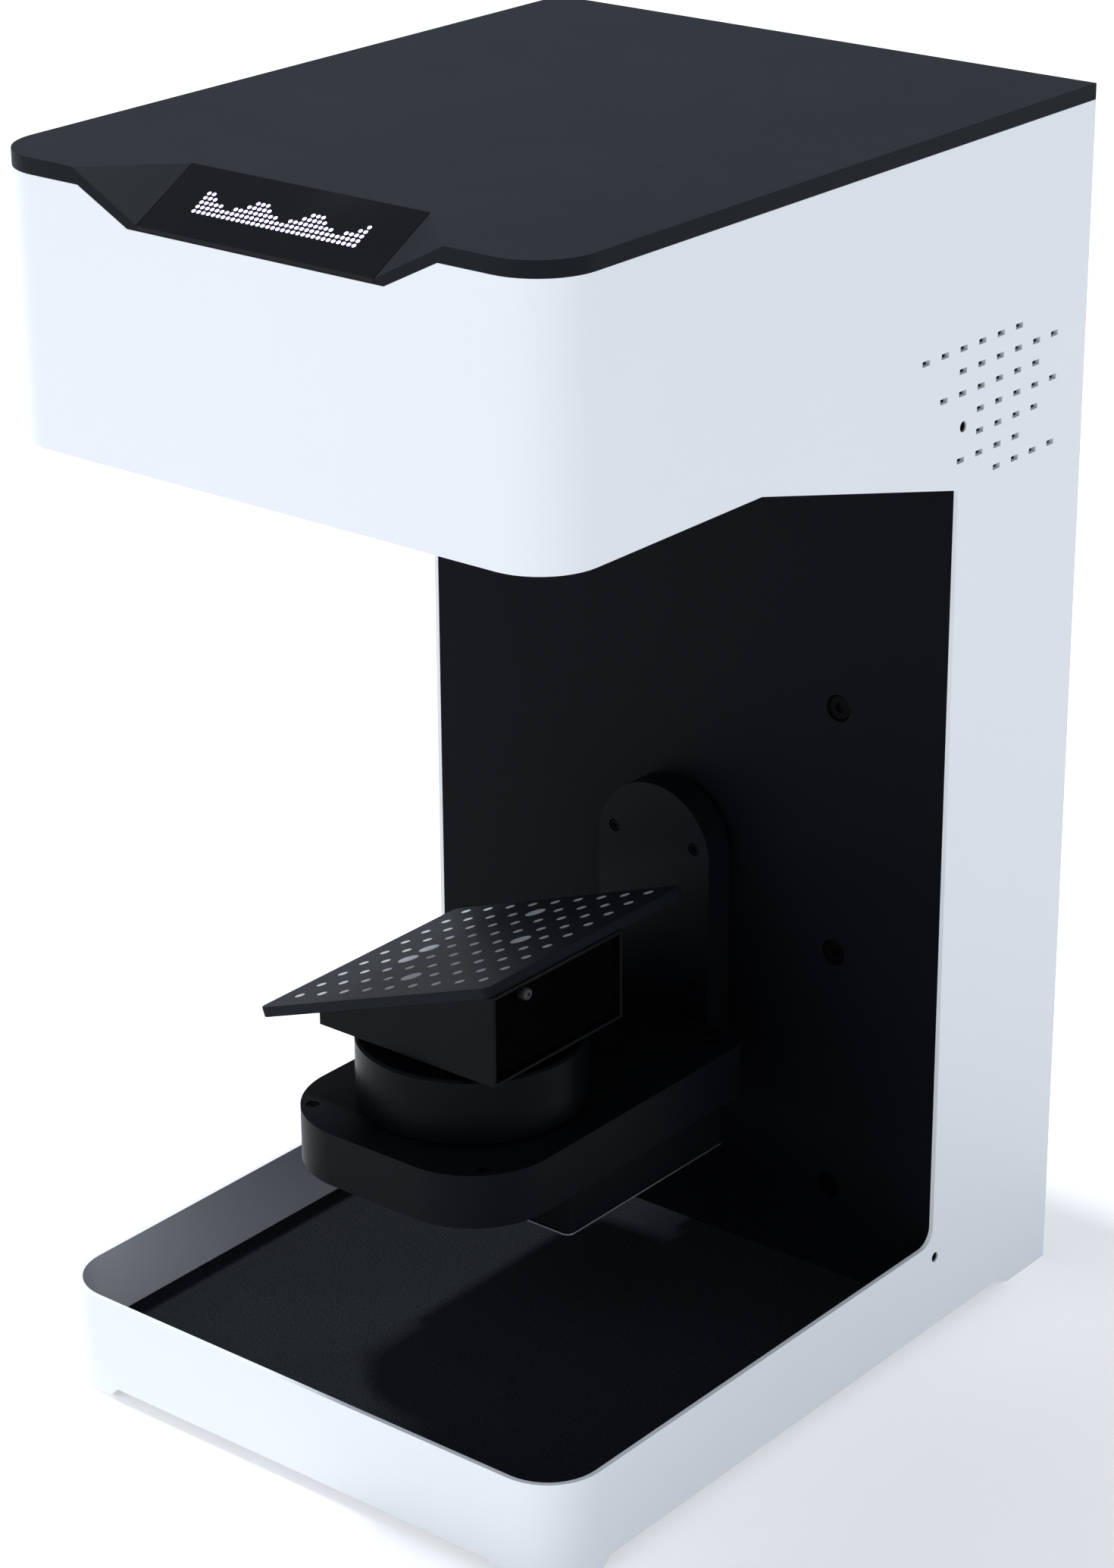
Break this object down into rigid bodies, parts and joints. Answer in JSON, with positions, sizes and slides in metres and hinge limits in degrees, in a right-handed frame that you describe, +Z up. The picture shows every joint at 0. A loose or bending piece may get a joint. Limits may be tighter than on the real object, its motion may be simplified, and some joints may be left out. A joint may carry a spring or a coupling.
{
  "type": "desktop 3d scanner",
  "caption": "C-shaped desktop scanner with a sensor head over a motor-driven turntable on a swinging arm, carrying a tilted dotted calibration board.",
  "frame": {"origin": "on the table under the middle of the housing's bounding box", "axes": "+Z up, +X to the right of someone who faces the scanner's front, +Y towards its back"},
  "size_m": [0.27, 0.3384, 0.523],
  "materials": {
    "white_shell": "satin powder coat",
    "dark_lid": "fine matt",
    "display_glass": "dark gloss",
    "dark_panel": "matt powder coat on aluminium sheet",
    "dark_cover": "matt",
    "dark_metal": "black anodised",
    "bright_metal": "bright",
    "target_black": "matt",
    "black_screw": "blackened",
    "zinc_sheet": "zinc plated",
    "rubber": "matt",
    "circuit": "solder mask",
    "black_plastic": "satin",
    "window_glass": "clear",
    "lens_black": "gloss",
    "bearing_steel": "polished",
    "gear_steel": "machined",
    "gear_brass": "machined",
    "motor_black": "satin",
    "plate_metal": "milled"
  },
  "bodies": {
    "housing": {"outer_shell": "white_shell", "side_screws": "black_screw", "top_lid": "dark_lid", "display_window": "display_glass", "display_board": "circuit", "base_tray": "zinc_sheet", "floor_plate": "dark_panel", "rubber_feet": "rubber", "rear_panel": "dark_panel", "panel_screws": "black_screw", "panel_standoffs": "gear_brass", "column_frame": "zinc_sheet", "back_cover": "white_shell", "back_cover_screws": "black_screw", "power_inlet": "black_plastic", "usb_socket": "zinc_sheet", "switch_case": "black_plastic", "swing_bearing_housing": "plate_metal", "swing_bearings": "bearing_steel", "swing_motor": "motor_black", "head_underside": "dark_panel", "projector_window": "window_glass", "camera_windows": "window_glass", "optical_bench": "plate_metal", "projector_body": "dark_metal", "projector_lens": "lens_black", "left_camera": "plate_metal", "right_camera": "plate_metal", "camera_lenses": "lens_black", "power_supply": "plate_metal", "control_board": "circuit", "board_standoffs": "gear_brass", "fan_frame": "black_plastic"},
    "swing_arm": {"swing_shaft": "gear_steel", "swing_gear": "gear_steel", "arm_bracket": "dark_metal", "arm_cover": "dark_cover", "arm_bottom_plate": "dark_cover", "arm_screws": "black_screw", "arch_cover": "dark_cover", "arch_screws": "black_screw", "motor_pod": "dark_cover", "pod_bottom_plate": "bright_metal", "turntable_motor": "motor_black", "turntable_ring": "dark_metal", "turntable_bearings": "bearing_steel"},
    "turntable": {"turntable_spindle": "gear_steel", "turntable_gear": "gear_steel", "turntable_drum": "dark_metal", "adapter_disc": "dark_metal", "wedge_block": "dark_metal", "wedge_end_cover": "black_plastic", "wedge_knob": "bright_metal", "calibration_board": "target_black"},
    "swing_drive": {"swing_pinion": "gear_brass", "swing_motor_shaft": "bearing_steel"},
    "turntable_drive": {"turntable_pinion": "gear_brass", "turntable_motor_shaft": "bearing_steel"},
    "fan": {"fan_rotor": "black_plastic"},
    "rocker": {"switch_rocker": "lens_black"}
  },
  "joints": [
    {"name": "swing", "type": "hinge", "parent": "housing", "child": "swing_arm", "pos_m": [0, 0.11475, 0.197], "axis": [0, 1, 0], "range_deg": [-60, 60]},
    {"name": "turntable_spin", "type": "hinge", "parent": "swing_arm", "child": "turntable", "pos_m": [0, -0.05725, 0.129], "axis": [0, 0, 1], "continuous": true},
    {"name": "swing_pinion_spin", "type": "hinge", "parent": "housing", "child": "swing_drive", "pos_m": [0, 0.09275, 0.137], "axis": [0, 1, 0], "range_deg": [-185, 185]},
    {"name": "turntable_pinion_spin", "type": "hinge", "parent": "swing_arm", "child": "turntable_drive", "pos_m": [0, -0.01225, 0.1178], "axis": [0, 0, 1], "continuous": true},
    {"name": "fan_spin", "type": "hinge", "parent": "housing", "child": "fan", "pos_m": [0.1253, 0.11875, 0.409], "axis": [1, 0, 0], "continuous": true},
    {"name": "power_rocker", "type": "hinge", "parent": "housing", "child": "rocker", "pos_m": [-0.02, 0.16375, 0.062], "axis": [1, 0, 0], "range_deg": [-14, 0]}
  ],
  "couplings": [
    {"joint": "swing_pinion_spin", "follows": "swing", "ratio": -3},
    {"joint": "turntable_pinion_spin", "follows": "turntable_spin", "ratio": -3}
  ]
}
